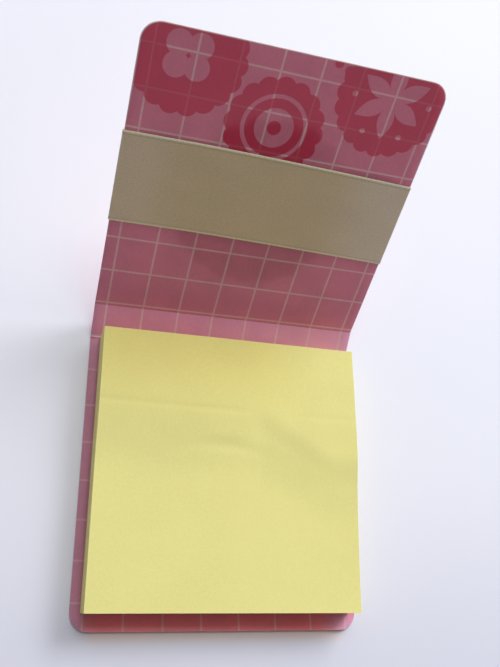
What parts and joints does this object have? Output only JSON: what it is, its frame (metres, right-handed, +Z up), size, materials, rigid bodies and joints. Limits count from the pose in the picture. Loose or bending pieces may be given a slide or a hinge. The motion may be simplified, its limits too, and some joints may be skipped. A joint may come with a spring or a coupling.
{
  "type": "sticky note pad",
  "caption": "Square sticky note pad glued in a folded pink card cover that stands open, with a ribbon round the front cover and a scalloped tag outside.",
  "frame": {"origin": "centre of the back cover's underside, the face that the object lies on", "axes": "+Z up out of the lying face, +X right along the folds, +Y towards the spine"},
  "size_m": [0.0816, 0.1346, 0.0733],
  "materials": {
    "pink_card": "matt printed card",
    "note_paper": "uncoated yellow paper",
    "clear_adhesive": "dried clear glue",
    "satin_ribbon": "satin weave with corded edges",
    "tag_card": "matt plain card"
  },
  "bodies": {
    "base": {"back_cover": "pink_card", "note_pad": "note_paper", "adhesive_strip": "clear_adhesive"},
    "spine": {"spine": "pink_card"},
    "front": {"front_cover": "pink_card", "ribbon": "satin_ribbon", "scalloped_tag": "tag_card"}
  },
  "joints": [
    {"name": "spine_fold", "type": "hinge", "parent": "base", "child": "spine", "pos_m": [0, 0.0405, 0.0002], "axis": [1, 0, 0], "range_deg": [-36, 54]},
    {"name": "cover_fold", "type": "hinge", "parent": "spine", "child": "front", "pos_m": [0, 0.04859, 0.00608], "axis": [1, 0, 0], "range_deg": [-20, 70]}
  ]
}
